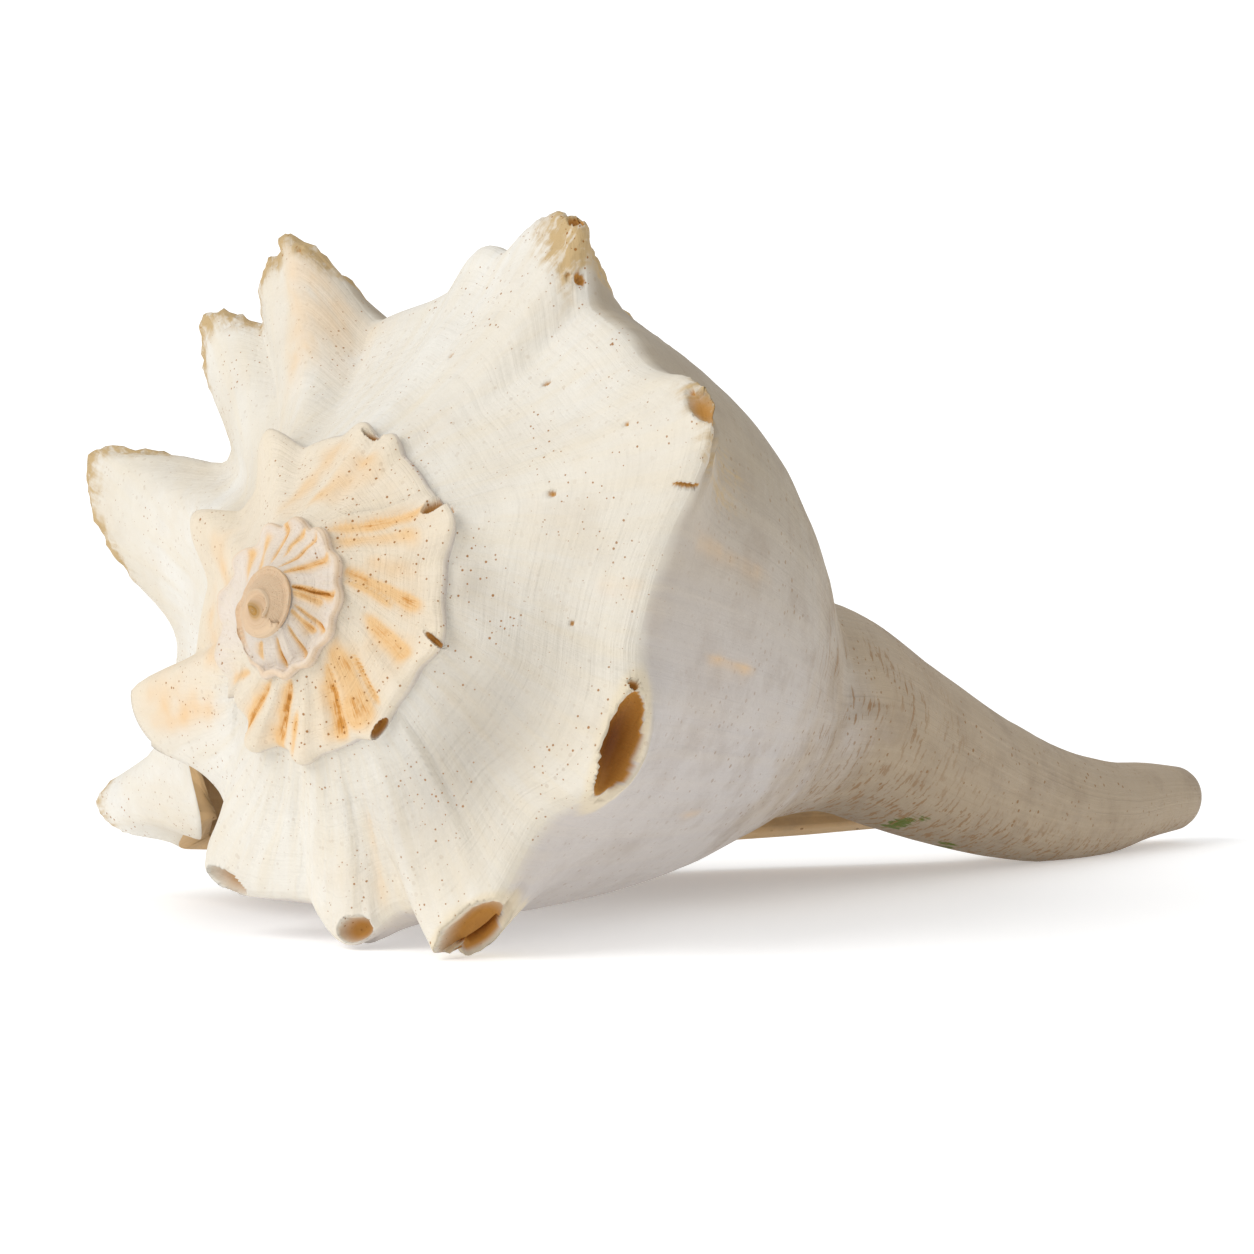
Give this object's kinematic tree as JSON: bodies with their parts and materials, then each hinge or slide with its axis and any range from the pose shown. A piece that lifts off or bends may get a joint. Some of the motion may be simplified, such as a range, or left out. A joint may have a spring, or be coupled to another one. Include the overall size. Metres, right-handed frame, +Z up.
{
  "type": "whelk shell",
  "caption": "Large left-handed whelk shell with a low coiled spire, a spined shoulder and a long tapering open canal, lying on its aperture.",
  "frame": {"origin": "centre of the bounding box in plan, on the surface the shell rests on", "axes": "+Z up; the canal's tip points along +X and the apex of the spire along -X; the aperture faces down and toward +Y"},
  "size_m": [0.1848, 0.1106, 0.0834],
  "materials": {
    "shell": "worn, unpolished lime shell: ivory ramp, peach and orange spire, grey-pink body"
  },
  "bodies": {
    "root": {"shell": "shell"}
  },
  "joints": []
}
